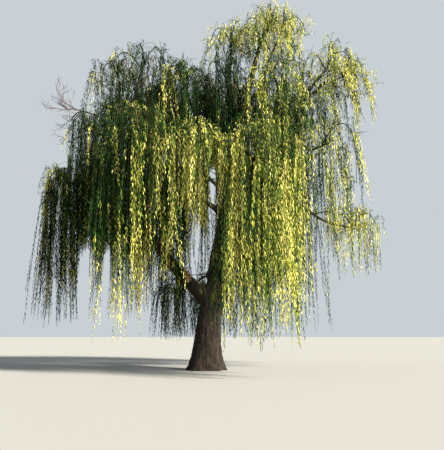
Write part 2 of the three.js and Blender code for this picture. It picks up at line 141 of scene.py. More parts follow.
# The mass of foliage round each bough's end. Its lights, about 0 to 1, are the painted light and shade of
# its leaves at the crest, half way down and at the hem. Its fall is the most its strands fall.
MASSES = table("name spread crest hem leaders lights fall fullness", (
    ("centre_stem", "top_foliage", 1500, 17500, 13400, 5, (0.7, 0.5, 0.35), 1200, 0.4),
    ("top_right_bough", "top_right_foliage", 1150, 17000, 12900, 4, (0.74, 0.58, 0.4), 1400, 0.42),
    ("top_left_bough", "top_left_foliage", 1200, 16900, 13700, 4, (0.7, 0.5, 0.3), 1000, 0.4),
    ("right_stem", "upper_right_foliage", 1500, 15600, 10400, 4, (0.7, 0.5, 0.3), 1600, 0.5),
    ("far_right_bough", "far_right_foliage", 1200, 14500, 10500, 4, (0.82, 0.65, 0.45), 1500, 0.42),
    ("mid_right_bough", "mid_right_foliage", 1500, 10900, 5300, 4, (0.5, 0.6, 0.72), 2600, 0.55),
    ("low_right_bough", "low_right_foliage", 1250, 7250, 3850, 4, (0.75, 0.7, 0.65), 1900, 0.6),
    ("front_right_bough", "front_right_curtain", 1050, 10800, 1000, 5, (0.28, 0.56, 0.76), 9000, 1.6),
    ("front_bough", "front_curtain", 1200, 9400, 950, 5, (0.45, 0.54, 0.7), 8500, 1.7),
    ("front_centre_bough", "front_centre_foliage", 1250, 9700, 5600, 4, (0.7, 0.85, 1), 3300, 1),
    ("front_left_bough", "front_left_curtain", 1200, 10600, 2600, 5, (0, 0.24, 1.1), 6000, 1.5),
    ("left_front_bough", "left_front_curtain", 1150, 11300, 1100, 5, (-0.1, 0.06, 1.3), 8500, 2),
    ("left_bough", "left_foliage", 1050, 11900, 3100, 4, (-0.05, 0.05, 0.8), 6000, 1.8),
    ("far_left_bough", "far_left_curtain", 950, 9400, 1900, 5, (0.42, 0.34, 0.44), 6500, 4),
    ("upper_left_bough", "upper_left_foliage", 800, 14800, 9300, 4, (0.4, 0.18, 0), 2600, 1),
    ("left_limb", "left_crown_foliage", 1450, 15100, 8600, 4, (0.2, -0.05, -0.1), 3200, 1),
    ("upper_front_left_bough", "upper_front_left_foliage", 1350, 13500, 8300, 4,
     (-0.12, -0.16, 0.05), 3200, 1.8),
    ("upper_front_bough", "upper_front_foliage", 1250, 13300, 7900, 4, (-0.1, -0.12, 0.1), 3000, 1.8),
    ("upper_front_right_bough", "upper_front_right_foliage", 1400, 13500, 8400, 4,
     (0.35, 0.35, 0.5), 2600, 0.9),
    ("back_right_bough", "back_right_foliage", 1500, 12200, 5800, 4, (0.5, 0.4, 0.3), 4000, 0.8),
    ("rear_right_bough", "rear_right_curtain", 1500, 12100, 1500, 5, (0.42, 0.28, 0.18), 9000, 1.2),
    ("rear_bough", "rear_curtain", 1500, 12400, 1500, 5, (0.35, 0.2, 0.08), 9000, 1.6),
    ("rear_left_bough", "rear_left_curtain", 1600, 12000, 2200, 4, (0.35, 0.2, 0.08), 8000, 1.5),
    ("back_left_bough", "back_left_foliage", 1550, 11200, 3000, 4, (0.3, 0.16, 0.08), 5500, 1.1),
    ("back_limb", "back_crown_foliage", 1600, 15200, 8800, 4, (0.15, 0.06, 0.05), 2800, 1.4),
    ("upper_back_left_bough", "upper_back_left_foliage", 1450, 14600, 9200, 4,
     (0.15, 0.06, 0.05), 2800, 1.4),
    ("upper_back_right_bough", "upper_back_right_foliage", 1450, 15100, 9300, 4, (0.4, 0.3, 0.2), 2600, 0.9),
    ("low_rear_bough", "low_rear_foliage", 1500, 4500, 1300, 4, (-0.1, -0.1, -0.1), 3000, 2.4),
))

# Tassels are bunches of fine twigs, called strands, that hang together. In the rules that follow, a pair of
# numbers is the least and the most of what varies.
TASSELS_PER_M2 = 8  # for each layer of a full mass, by its spread in metres squared
TASSEL = Rule(strands=4, sway=40, lean=100, own_lean=35)
SUNNY = Rule(share=0.08, lighter=0.5)  # the tassels painted lighter, as if they caught the sun
# A tassel's other strands leave its first one part of the way along its arch.
BESIDE = Rule(branch=(0.3, 0.95), near=(0.4, 1), apart=120, aparts=(0.6, 1.5), rise=140)
# A mass is wider across than outward, and its top falls away by its dome, in shares of its spread.
SCATTER = Rule(turn=16, reach=(0.85, 1), across=1.25, above_foot=60)
DOME = Rule(middle=0.12, edge=0.55, varies=(0.1, 1.3))
SINK = 0.2  # how far below the crest tassels begin, as a share of the mass
RAGGED = Rule(most=0.32, power=2.6, fringe=0.07)  # how far above the hem strands end, as shares of the mass
FALLS = (0.55, 1.2)
ALONG = Rule(spacing=480, start=0.22, start_on_stem=0.34, turn=60, slope=0.42, inward=3800, ragged=900)
ALONG_TASSEL = Rule(reach=800, outs=(0.25, 1), rise=500, rises=(0.3, 1.4), falls=(0.4, 1), strands=3)
SIDE_TWIG = Rule(length=2250, lengths=(0.6, 1.05), on_stem=1.2, rise=0.34, root=24, tip=9, sides=4)
# A twig bends where it has gone these shares of its way out and up.
SIDE_TWIG_BENDS = ((0.4, 0.8), (0.85, 1), (1, 0.2))
SIDE_TWIGS = Rule(spacing=740, fullest=1.3, after=0.2, jitter=0.6, off=58, offs=(0.7, 1.4), turn=100)
ON_TWIG = Rule(tassels=5, bare=0.25, reach=420)
SPRIGS = Rule(spacing=300, below_top=1500, step=50, strands=2, reach=460, outs=(0.3, 1))
SPRIG = Rule(rise=300, rises=(0.3, 1.2), drop=1150, drops=(0.4, 1))
# A shoot stands beside each sprig, and beside each tassel of the masses whose crest is above this.
SHOOT = Rule(out=620, outs=(0.5, 1), up=320, ups=(0.3, 1), above=13000)
SHOOT_BENDS = ((0.3, 0.6), (0.75, 1), (1.25, 0.75))
SPLAY = Rule(heights=(9000, 15500), most=3.2)
STRAND = Rule(root=7, tip=3, sides=3, arch_pieces=3, side_pieces=2, plumb_pieces=2, shortest=350)
BARE = Rule(of_arch=0.1, beside=60.0, shoot=40.0)  # how far from a strand's foot its leaves begin
# A tassel leaves its twig near its place and below its crest. A spot too high up counts as far away.
FOOT = Rule(spots=40, height_counts=0.8, below=300, too_high=60, far=1e4)

LEAF = Rule(length=190, width=0.18, widest=0.42)
# A leaf's base and its end each follow the twig, stand off it and turn down, by these weights.
LEAF_BASE = Rule(follow=0.75, off=(0.3, 0.95), sag=0.2)
LEAF_END = Rule(follow=0.45, off=0.14, sag=0.85)
LEAVES = Rule(roll=65, turn=12, sizes=(0.7, 1.2), smallest=0.6, run=600)  # smaller near a strand's end
LEAF_COUNT = 301000
SPRAY_LENGTH = 420  # the leaves along this much of a strand share a tint
# how much the painted light varies at random from tassel to tassel, strand to strand and spray to spray
MOTTLE = Rule(tassel=0.24, strand=0.1, spray=0.2)
# Painted light and shade: a mass is lighter on its side towards the sun and darker on the far side, darker
# inside and less so at its crest; tassels along boughs and on their side twigs are darker.
SHADE = Rule(sun_side=0.12, inside=0.4, at_crest=0.3, along=-0.35, side=-0.1)
# Painted light and shade in clumps, by bearing round the trunk, height and reach.
CLUMP = Rule(around=30, tall=2600, deep=1100, depth=0.24)
MOST_FACES = 190000  # in one piece

# Leaf tints, from the deepest painted shade up to painted sunlight, chosen by each leaf's painted light;
# russet is the real colour of the leaves of a few dead strands.
TINTS = {
    "deep": (0.003, 0.013, 0.0035),
    "dark": (0.007, 0.036, 0.01),
    "mid": (0.036, 0.098, 0.018),
    "painted_half_light": (0.165, 0.215, 0.032),
    "painted_light": (0.36, 0.37, 0.05),
    "painted_sunlight": (0.56, 0.54, 0.14),
    "russet": (0.12, 0.06, 0.022),
}
TINT_STEPS = (0.22, 0.37, 0.5, 0.62, 0.76)  # the painted lights at which one tint gives way to the next, up to painted sunlight
RUSSET_SHARE = 0.012  # of the strands
# The tints of painted light, and russet, get a sheen; the tints of painted shade get none, which paints
# their shade deeper.
SUNLIT_TINTS = ("painted_half_light", "painted_light", "painted_sunlight", "russet")
LEAF_LOOK = Rule(roughness=0.55, sheen=0.1, through=0.28, through_tint=(1.25, 1.2, 0.7))
# Each wood's dark and pale colour, the fineness of its grain along each axis, roughness and relief.
WOODS = {
    # The furrowed bark's colours are real dark bark darkened further with painted shade, as the trunk stands
    # deep in the crown's shade.
    "furrowed_bark": ((0.006, 0.0045, 0.0035), (0.036, 0.027, 0.02), (9, 9, 1.8), 0.92, 0.9),
    # The young twigs' colours are a real green-brown darkened with painted shade, like the foliage they hang
    # in.
    "young_twig": ((0.007, 0.012, 0.003), (0.04, 0.052, 0.014), (9, 9, 2), 0.7, 0.2),
    "dead_twig": ((0.035, 0.026, 0.026), (0.12, 0.09, 0.09), (12, 12, 12), 0.85, 0.3),
    "torn_wood": ((0.27, 0.13, 0.08), (0.66, 0.44, 0.31), (28, 28, 4), 0.8, 0.5),
}
WOOD_LOOK = Rule(detail=7.0, contrast=0.62, dark_below=0.34, pale_above=0.68, relief=0.02, sheen=0.2)

DEAD = Rule(count=5, length=1800, shorter=0.3, fan=105, spread=32, root=28, tip=10, sides=5)
DEAD_BEND = Rule(lift=30, bow=60, crook=30)
DEAD_STEM = Rule(sunk=20, tip=0.8)
FORKS = Rule(count=8, start=0.18, stop=0.95, length=(380, 900), turn=75, rise=50, root=13, tip=5, sides=4)
FINER = Rule(count=3, along=(0.3, 0.9), length=(150, 400), turn=90, rise=60, root=6.5, tip=3, sides=3)
FORK_BEND = Rule(drop=15, lift=20, bow=25, crook=12, step=110, inside=20)
TORN = Rule(along=0.115, inset=(0, 0.85, 0.2), count=7, across=200, deep=70, tall=620, talls=(0.45, 1))
SPLINTER = Rule(lean=16, crook=10, root=42, tip=9, sides=6)

# Ropes of tassels painted in sunlight: the bough they are near, their place in plan, crest, end and number.
ROPES = table("place crest end tassels", (
    ("upper_front_left_bough", (-1700, -3000), 13200, 9800, 5),
    ("left_front_bough", (-2620, -3500), 11350, 10100, 3),
    ("front_centre_bough", (-480, -5300), 9300, 5250, 7),
))
ROPE = Rule(apart=150, shorter=0.35, light=0.95)
# Curtains painted in dark shade that hang before the trunk and left limb.
VEILS = table("place crest end tassels", (
    ("front_centre_bough", (270, -2600), 8700, 1500, 14),
    ("front_left_bough", (-1250, -2300), 8900, 1500, 9),
    ("front_bough", (1150, -3000), 8000, 1400, 8),
))
VEIL = Rule(apart=330, shorter=0.3, light=0.24)
CREST_VARIES = 0.2  # of the drop of a rope or a veil

# The open sky inside the crown, seen from the eye: ellipses on the upright plane through the trunk. Each has
# its middle's place and height, half its width and height, and the share of strands that cross it.
EYE = np.array([680.0, -29500.0, 1550.0])
SKY = (
    (-470, 5330, 430, 1250, 0.14),
    (-5520, 4450, 300, 1200, 0.0),
    (-4560, 4600, 220, 900, 0.0),
    (250, 8800, 190, 480, 0.0),
    (5350, 9850, 950, 1000, 0.5),
)
SKY_EDGE = Rule(least=0.7, varies=0.6, shuffle=7)  # each strand sees the gaps a little larger or smaller
SKY_TEST = Rule(step=150, corner=60)  # a strand that is cut keeps no corner this near its new end

CAMERA = Rule(pitch=9.57, lens=52.0, clip_end=1000)
SUN = Rule(bearing=-42, height=34, strength=17.0, angle=9.0, colour=(1.0, 0.93, 0.8))
SKY_LIGHT = Rule(colour=(0.86, 0.94, 1.0), strength=0.67)
FLOOR = Rule(half_width=400000.0, below=2, colour=(0.21, 0.21, 0.205), roughness=0.9)

# The seeds of the random draws. The number of a mass, bough, strand or piece is added to some.
SEEDS = Rule(leaders=11, mass=401, bough=900, ropes=77, clumps=17, strand=5000, piece=7000)
WOOD_SEEDS = Rule(trunk_bark=71, limb_bark=100, dead_bark=380, dead=31, torn=53)


def heading(bearing, rise):
    """Unit vectors at a bearing and an angle above the level, in degrees."""
    bearing, rise = np.radians(bearing), np.radians(rise)
    level = np.cos(rise)
    return np.stack([level * np.cos(bearing), level * np.sin(bearing), np.sin(rise) + 0 * bearing], axis=-1)


def bearing_of(v):
    return math.degrees(math.atan2(v[1], v[0]))


def unit(v):
    return v / np.linalg.norm(v, axis=-1, keepdims=True)


def seeded(seed):
    """The solids' own repeatable random numbers from 0 to 1."""
    state = seed & 0xFFFFFFFF

    def draw():
        nonlocal state
        state = (state + 0x6D2B79F5) & 0xFFFFFFFF
        t = ((state ^ (state >> 15)) * (state | 1)) & 0xFFFFFFFF
        t ^= (t + ((t ^ (t >> 7)) * (t | 61))) & 0xFFFFFFFF
        return ((t ^ (t >> 14)) & 0xFFFFFFFF) / 4294967296

    return draw


class Line:
    """A line through points, measured in millimetres from its foot."""

    def __init__(self, points):
        self.points = np.array(points, float)
        steps = np.linalg.norm(np.diff(self.points, axis=0), axis=1)
        self.marks = np.concatenate([[0.0], np.cumsum(steps)])
        self.length = self.marks[-1]

    def at(self, s):
        return np.stack([np.interp(s, self.marks, self.points[:, k]) for k in range(3)], axis=-1)

    def along(self, s, reach=30.0):
        return unit(self.at(np.minimum(s + reach, self.length)) - self.at(np.maximum(s - reach, 0)))


def bezier(corners, t):
    """The points at shares t of a curve from the first of four corners to the last."""
    weights = (1 - t) ** 3, 3 * (1 - t) ** 2 * t, 3 * (1 - t) * t**2, t**3
    return sum(weight * corner for weight, corner in zip(weights, corners))


def limb_line(start, end, rise, level, bow, crook, step=LIMB.step):
    """A curve that bows to one side, with a slight crook along it, and its sideways direction."""
    chord = end - start
    length = np.linalg.norm(chord)
    plan = bearing_of(chord)
    handle = length * LIMB.handle
    t = np.linspace(0, 1, max(3, round(length / step)) + 1)[:, None]
    first = start + heading(plan, rise) * handle
    second = end - heading(plan, level) * handle
    points = bezier((start, first, second, end), t)
    swing = np.sin(np.pi * t)
    sideways = bow * swing**2 + crook * swing * np.sin(LIMB.sideways * t)
    points += heading(plan + 90, 0) * sideways
    points[:, 2:] += crook * swing * np.sin(LIMB.upwards * t)
    return Line(points), heading(plan + 90, 0)


def bent(foot, out, up, bends):
    """A foot, and the points at shares of the way out and up from it."""
    return np.array([foot] + [foot + far * out + high * up for far, high in bends])


def trunk_line():
    share = np.linspace(0, 1, 80)
    return Line(np.stack([TRUNK.lean * share**2, 0 * share, TRUNK.height * share], axis=-1))


def lay_out_limbs():
    """Every limb's middle line, sideways direction and radii, and its parent's radius where it begins."""
    limbs = {"trunk": Rule(line=trunk_line(), side=heading(90, 0), radii=(TRUNK.girth, TRUNK.top))}
    for index, (name, row) in enumerate(BOUGHS.items()):
        parent = limbs[row.parent]
        foot = parent.line.at(parent.line.length * row.at)
        bearing, reach, height = row.end
        end = heading(bearing, 0) * reach + np.array([0, 0, height])
        crook = LIMB.crook + LIMB.crook_step * (index % 3)
        line, side = limb_line(foot, end, *row.angles, row.bow, crook)
        limbs[name] = Rule(line=line, side=side, radii=row.radii, within=radius_at(parent, row.at))
    return limbs


def radius_at(limb, share):
    root, tip = limb.radii
    return root + (tip - root) * share ** LIMB.taper


# Meshes.


def in_scene(name, data):
    """A new object with this data, put in the scene."""
    made = bpy.data.objects.new(name, data)
    bpy.context.scene.collection.objects.link(made)
    return made


def mesh_object(name, vertices, faces, material, smooth=True):
    """An object from points in millimetres and faces that all have as many corners."""
    corners = faces.shape[1]
    mesh = bpy.data.meshes.new(name)
    mesh.vertices.add(len(vertices))
    mesh.vertices.foreach_set("co", (vertices * MM).astype(np.float32).ravel())
    mesh.loops.add(faces.size)
    mesh.loops.foreach_set("vertex_index", faces.astype(np.int32).ravel())
    mesh.polygons.add(len(faces))
    mesh.polygons.foreach_set("loop_start", np.arange(0, faces.size, corners, dtype=np.int32))
    mesh.polygons.foreach_set("use_smooth", np.full(len(faces), smooth))
    mesh.update(calc_edges=True)
    mesh.validate()
    mesh.materials.append(material)
    return in_scene(name, mesh)


def joined(parts):
    """One set of points and faces from several."""
    vertices, faces, first = [], [], 0
    for points, corners in parts:
        vertices.append(points)
        faces.append(corners + first)
        first += len(points)
    return np.concatenate(vertices), np.concatenate(faces)


def swept(centre, along, side, radius):
    """A closed tube of triangles round a line: radius has a row for each ring and a column for each side."""
    rings, sides = radius.shape
    across = unit(side - (along @ side)[:, None] * along)
    third = np.cross(across, along)
    turn = 2 * np.pi * np.arange(sides) / sides
    out = across[:, None] * np.cos(turn)[:, None] + third[:, None] * np.sin(turn)[:, None]
    points = (centre[:, None] + out * radius[..., None]).reshape(-1, 3)
    points = np.concatenate([points, centre[[0, -1]]])
    ring = np.arange(rings - 1)[:, None] * sides
    here = np.arange(sides)
    after = (here + 1) % sides
    a, b, c, d = ring + here, ring + after, ring + sides + after, ring + sides + here
    walls = np.concatenate([np.stack([a, d, c], -1).reshape(-1, 3), np.stack([a, c, b], -1).reshape(-1, 3)])
    foot = np.stack([here, after, np.full(sides, rings * sides)], -1)
    last = (rings - 1) * sides
    head = np.stack([last + after, last + here, np.full(sides, rings * sides + 1)], -1)
    return points, np.concatenate([walls, foot, head])


def value_noise(u, v, around, seed):
    """Smooth noise from 0 to 1 over cells of size 1. It closes on itself after so many cells in u."""
    lattice = default_rng(seed).random((around, NOISE_ROWS))
    low_u, low_v = np.floor(u).astype(int), np.floor(v).astype(int)
    fu, fv = u - low_u, v - low_v
    fu, fv = fu * fu * (3 - 2 * fu), fv * fv * (3 - 2 * fv)

    def corner(du, dv):
        return lattice[(low_u + du) % around, (low_v + dv) % NOISE_ROWS]

    low = corner(0, 0) * (1 - fu) + corner(1, 0) * fu
    high = corner(0, 1) * (1 - fu) + corner(1, 1) * fu
    return low * (1 - fv) + high * fv


def bark_relief(s, sides, radius, seed):
    """How far the bark stands off its mean radius."""
    turn = np.arange(sides)[None, :] / sides
    s = s[:, None]
    girth = 2 * np.pi * float(np.max(radius))
    around = max(BARK.fewest_cells, round(girth / BARK.cell))
    depth = np.minimum(radius[:, None] * BARK_DEPTH.share, BARK_DEPTH.most)
    lumps = value_noise(turn * LUMPS.round, s / LUMPS.run, LUMPS.round, seed)
    relief = radius[:, None] * LUMPS.height * (lumps - 0.5)
    for finer, share in BARK.nets:
        cells = around * finer
        weave = value_noise(turn * cells, s / BARK.run * finer, cells, seed + finer)
        nearness = np.clip(np.abs(2 * weave - 1) / BARK.furrow, 0, 1)
        groove = 1 - nearness * nearness * (3 - 2 * nearness)
        relief = relief + depth * share * (BARK.ridge - groove)
    return relief


def trunk_mesh(limb):
    """The trunk, with its flared foot, its buttresses and its rounded top."""
    sides = TRUNK.sides
    line = limb.line
    share = np.linspace(0, 1, TRUNK.rings)
    s = share * line.length
    turn = 2 * np.pi * np.arange(sides)[None, :] / sides
    radius = TRUNK.girth + (TRUNK.top - TRUNK.girth) * share
    past = np.clip((share - TRUNK_TOP.dome) / (1 - TRUNK_TOP.dome), 0, 1)
    radius *= 1 - (1 - TRUNK_TOP.domed) * past**2
    bearing = turn + np.pi / 2
    lobes = 1 - FLARE.depth * (1 - np.cos(FLARE.buttresses * bearing + np.sin(2 * bearing)))
    flare = FLARE.most * lobes * np.exp(-share[:, None] * TRUNK.height / FLARE.height)
    relief = bark_relief(s, sides, radius, WOOD_SEEDS.trunk_bark)
    along = np.tile([0.0, 0.0, 1.0], (TRUNK.rings, 1))
    return swept(line.at(s), along, limb.side, radius[:, None] + flare + relief)


def limb_mesh(limb, seed):
    line = limb.line
    root = limb.radii[0]
    sides = int(np.clip(round(2 * np.pi * root / RINGS.side), *RINGS.sides))
    rings = round(line.length / (RINGS.close if root > RINGS.thick else RINGS.wide)) + 1
    s = np.linspace(0, line.length, rings)
    radius = radius_at(limb, s / line.length)
    from_bark = (s - COLLAR.inside * limb.within) / (COLLAR.run * root)
    radius = radius * (1 + COLLAR.swell * np.exp(-(from_bark**2)))
    relief = bark_relief(s, sides, radius, seed)
    return swept(line.at(s), line.along(s, RINGS.smooth), limb.side, radius[:, None] + relief)


def twig_tube(points, rule):
    """A plain tube through points. Its rule names its radii at the root and the tip, and its sides."""
    steps = unit(np.diff(points, axis=0))
    along = unit(np.concatenate([steps[:1], steps[:-1] + steps[1:], steps[-1:]]))
    aslant = np.array([1e-3, 0, 0])  # so that an upright twig has a bearing too
    plan = bearing_of(points[-1] - points[0] + aslant)
    radius = np.linspace(rule.root, rule.tip, len(points))[:, None] * np.ones((1, rule.sides))
    return swept(points, along, heading(plan + 90, 0), radius)


def stem_of(limb, sunk, tip_share):
    """The stem that goes on from a bough's end, as a line and as a tube."""
    line = limb.line
    end = line.points[-1]
    along = line.along(np.array(line.length))
    stem = Line([end - along * sunk, end + along * STEM.length])
    radius = limb.radii[1] * STEM.taper
    return stem, twig_tube(stem.points, Rule(root=radius, tip=radius * tip_share, sides=STEM.sides))


# The foliage.


def in_sky(points, lot):
    """Which points of a strand the eye sees in a sky gap that it doesn't cross, by its lot from 0 to 1."""
    x, _, height = (EYE + (points - EYE) * (-EYE[1] / (points[:, 1:2] - EYE[1]))).T
    found = np.zeros(len(points), bool)
    ragged = SKY_EDGE.least + SKY_EDGE.varies * (SKY_EDGE.shuffle * lot % 1)
    for middle, middle_height, across, up, crossed in SKY:
        inside = np.hypot((x - middle) / across, (height - middle_height) / up) < ragged
        found |= inside & (lot >= crossed)
    return found


def arch(foot, place, crest, pieces):
    """Points up from a foot, over a crest and down to where a twig begins to hang, over a place in plan."""
    rise = max(crest - foot[2], OVER.least_rise)
    out = place - foot[:2]
    reach = np.linalg.norm(out)
    shoulder = foot[2] + rise - rise * ARCH.fall - reach * ARCH.droop
    top = foot[2] + rise * OVER.over
    corners = [
        foot,
        np.append(foot[:2] + out * ARCH.climb, top),
        np.append(place, top + OVER.lift * reach),
        np.append(place, shoulder),
    ]
    return bezier(corners, np.linspace(0, 1, pieces + 1)[:, None])


def splay(height):
    """How much more strands lean high up in the crown."""
    return np.interp(height, SPLAY.heights, (1, SPLAY.most))


def plumb(top, end, lean, rng):
    """Points that hang from top down to the height end, with a lean and a slight sway."""
    pieces = STRAND.plumb_pieces
    share = np.linspace(0, 1, pieces + 1)[1:, None]
    drift = rng.normal(0, TASSEL.sway, (pieces, 2)) * share**0.5
    own = rng.normal(0, TASSEL.own_lean * splay(top[2]), 2)
    drift += (lean + own) * math.sqrt((top[2] - end) * MM) * share
    return np.concatenate([top[:2] + drift, top[2] + (end - top[2]) * share], axis=1)


def leaders_of(stem, outward, row, index):
    """The leading twigs of a mass, by the solids' rule."""
    draw = seeded(SEEDS.leaders + index)
    count = row.leaders
    leaders = []
    for k in range(count):
        share = math.sqrt((k + LEADER.first) / (count - (1 - LEADER.first)))
        up = STEM.highest + (STEM.lowest - STEM.highest) * k / (count - 1)
        foot = stem.at(stem.length * up)
        turn = outward + GOLDEN_TURN * (count - 1 - k)
        reach = row.spread * share
        crest = foot[2] + (row.crest - foot[2]) * (1 - ARCH.dome * share**2)
        end = row.hem + LEADER.spray + (row.crest - row.hem) * LEADER.wander * draw()
        rise = crest - foot[2]
        out = heading(turn, 0)[:2] * reach
        place = foot[:2] + out
        points = [
            foot,
            np.append(foot[:2] + out * ARCH.climb, foot[2] + rise * ARCH.climbed),
            np.append(foot[:2] + out * ARCH.crest, crest),
            np.append(place, crest - rise * ARCH.fall - reach * ARCH.droop),
            np.append(place, end),
        ]
        leaders.append(Rule(turn=turn, points=rounded(points, 2)))
    return leaders


def rounded(points, times):
    """The points of a line with its corners cut off."""
    points = np.array(points, float)
    for _ in range(times):
        low = points[:-1] * 0.75 + points[1:] * 0.25
        high = points[:-1] * 0.25 + points[1:] * 0.75
        middle = np.stack([low, high], axis=1).reshape(-1, 3)
        points = np.concatenate([points[:1], middle[1:-1], points[-1:]])
    return points


class Crown:
    """Gathers the strands, with what their leaves need."""

    def __init__(self):
        self.leading = []
        self.strands = []

    def hang(self, points, first_leaf, lights, rng):
        """Adds a strand, cut off where the eye would see it in a sky gap."""
        line = Line(points)
        seen = in_sky(line.at(np.arange(0, line.length, SKY_TEST.step)), rng.random())
        if seen.any():
            kept = max(0, int(np.argmax(seen)) - 1) * SKY_TEST.step
            if kept < max(first_leaf, STRAND.shortest):
                return
            stops = line.marks[(line.marks > 0) & (line.marks < kept - SKY_TEST.corner)]
            line = Line(line.at(np.concatenate([[0], stops, [kept]])))
        self.strands.append((line, first_leaf, lights, rng.random()))

    def tassel(self, foot, place, crest, ends, lights, rng):
        """A strand that arches over to its place, and others that leave it and hang beside it."""
        over = arch(foot, place, crest, STRAND.arch_pieces)
        main = Line(over)
        fall = over[-1]
        if ends[0] > fall[2] - STRAND.shortest:
            return
        lean = rng.normal(0, TASSEL.lean * splay(fall[2]), 2)
        points = np.concatenate([over, plumb(fall, ends[0], lean, rng)])
        self.hang(points, main.length * BARE.of_arch, lights, rng)
        for end in ends[1:]:
            branch = main.at(main.length * rng.uniform(*BESIDE.branch))
            aside = heading(rng.uniform(0, 360), 0)[:2] * BESIDE.apart * rng.uniform(*BESIDE.aparts)
            beside = branch[:2] + (fall[:2] - branch[:2]) * rng.uniform(*BESIDE.near) + aside
            start = arch(branch, beside, branch[2] + BESIDE.rise, STRAND.side_pieces)
            if end > start[-1][2] - STRAND.shortest:
                continue
            points = np.concatenate([start, plumb(start[-1], end, lean, rng)])
            self.hang(points, BARE.beside, lights, rng)


def grow_mass(crown, key, row, index, limbs):
    """A mass: its stem, its leading twigs, and the tassels that branch from them."""
    limb = limbs[key]
    stem, tube = stem_of(limb, STEM.sunk, STEM.tip)
    crown.leading.append(tube)
    outward = bearing_of(limb.line.points[-1])
    leaders = leaders_of(stem, outward, row, index)
    rng = default_rng(SEEDS.mass + index)
    for leader in leaders:
        crown.leading.append(twig_tube(leader.points, LEADER))
        grow_sprigs(crown, leader.points, row, rng)
    height = row.crest - row.hem
    layers = 1 + max(0, height - row.fall) / row.fall
    count = round(TASSELS_PER_M2 * row.fullness * layers * (row.spread * MM) ** 2)
    aside = heading(outward + 90, 0)
    for i in range(count):
        share = math.sqrt((i + 0.5) / count)
        turn = outward + GOLDEN_TURN * i + rng.normal(0, SCATTER.turn)
        away = heading(turn, 0)
        reach = row.spread * share * rng.uniform(*SCATTER.reach)
        to_side = (SCATTER.across - 1) * (away @ aside)
        place = stem.points[-1][:2] + (away + to_side * aside)[:2] * reach
        dome = DOME.middle + DOME.edge * share**2
        lower = row.spread * dome * rng.uniform(*DOME.varies)
        sink = max(height * SINK, height - lower - row.fall)
        crest = row.crest - lower - sink * rng.random()
        near = min(leaders, key=lambda leader: abs((leader.turn - turn + 180) % 360 - 180))
        foot = foot_below(near.points, place, crest)
        ends = [ending(row, crest, rng) for _ in range(TASSEL.strands)]
        # Painted light on the mass's side towards the sun, and painted shade inside it.
        more = SHADE.sun_side * share * (away @ heading(SUN.bearing, 0))
        less = SHADE.inside * (1 - share)
        lights = lights_of(row, more - SHADE.at_crest * less, more - less, rng)
        crown.tassel(foot, place, max(crest, foot[2] + SCATTER.above_foot), ends, lights, rng)
        if row.crest > SHOOT.above:
            crown.hang(shoot(foot, turn, rng), BARE.shoot, lights, rng)


def grow_sprigs(crown, points, row, rng):
    """Short tassels that clothe the upper part of a leading twig."""
    line = Line(points)
    marks = np.arange(0, line.length, SPRIGS.step)
    high = marks[line.at(marks)[:, 2] > line.points[:, 2].max() - SPRIGS.below_top]
    count = round((high[-1] - high[0]) / SPRIGS.spacing)
    for i in range(count):
        foot = line.at(high[0] + (high[-1] - high[0]) * (i + rng.random()) / count)
        place = foot[:2] + heading(GOLDEN_TURN * i, 0)[:2] * SPRIGS.reach * rng.uniform(*SPRIGS.outs)
        crest = foot[2] + SPRIG.rise * rng.uniform(*SPRIG.rises)
        ends = [crest - SPRIG.drop * rng.uniform(*SPRIG.drops) for _ in range(SPRIGS.strands)]
        lights = lights_of(row, 0, 0, rng)
        crown.tassel(foot, place, crest, ends, lights, rng)
        crown.hang(shoot(foot, GOLDEN_TURN * i + 90, rng), BARE.shoot, lights, rng)


def shoot(foot, turn, rng):
    """A short twig that stands up and bends over a little."""
    out = heading(turn, 0) * SHOOT.out * rng.uniform(*SHOOT.outs)
    up = np.array([0, 0, SHOOT.up * rng.uniform(*SHOOT.ups)])
    return bent(foot, out, up, SHOOT_BENDS)


def grow_ropes(crown, limbs):
    """The ropes of tassels painted in sunlight, and the curtains painted in dark shade before the trunk."""
    rng = default_rng(SEEDS.ropes)
    for rows, rule in (ROPES, ROPE), (VEILS, VEIL):
        for near, row in rows.items():
            drop = row.crest - row.end
            for _ in range(row.tassels):
                place = np.array(row.place) + rng.normal(0, rule.apart, 2)
                foot = foot_below(limbs[near].line.points, place, row.crest)
                ends = [row.end + drop * rule.shorter * rng.random() ** 2 for _ in range(TASSEL.strands)]
                lights = (row.end, rule.light), (row.crest, rule.light)
                crest = row.crest - CREST_VARIES * drop * rng.random()
                crown.tassel(foot, place, crest, ends, lights, rng)


def foot_below(points, place, crest):
    """The point of a line that a tassel with this place and crest leaves it from."""
    line = Line(points)
    spots = line.at(np.linspace(0, line.length, FOOT.spots))
    away = np.linalg.norm(spots[:, :2] - place, axis=1)
    away += FOOT.height_counts * np.abs(crest - FOOT.below - spots[:, 2])
    away[spots[:, 2] > crest - FOOT.too_high] += FOOT.far
    return spots[int(np.argmin(away))]


def ending(row, crest, rng):
    """How high a strand ends: near the hem, or higher up where the strands of its mass fall less."""
    ragged = RAGGED.most * rng.random() ** RAGGED.power + RAGGED.fringe * rng.random()
    return max(row.hem + (row.crest - row.hem) * ragged, crest - row.fall * rng.uniform(*FALLS))


def lights_of(row, crest_more, hem_more, rng):
    """How light a tassel is painted at three heights, from the hem up. Here and there one is painted
    lighter, as if it caught the sun.
    """
    more = rng.normal(0, MOTTLE.tassel)
    if rng.random() < SUNNY.share:
        more += SUNNY.lighter
    crest_light, middle_light, hem_light = row.lights
    middle = (row.hem + row.crest) / 2, middle_light + (crest_more + hem_more) / 2 + more
    return (row.hem, hem_light + hem_more + more), middle, (row.crest, crest_light + crest_more + more)


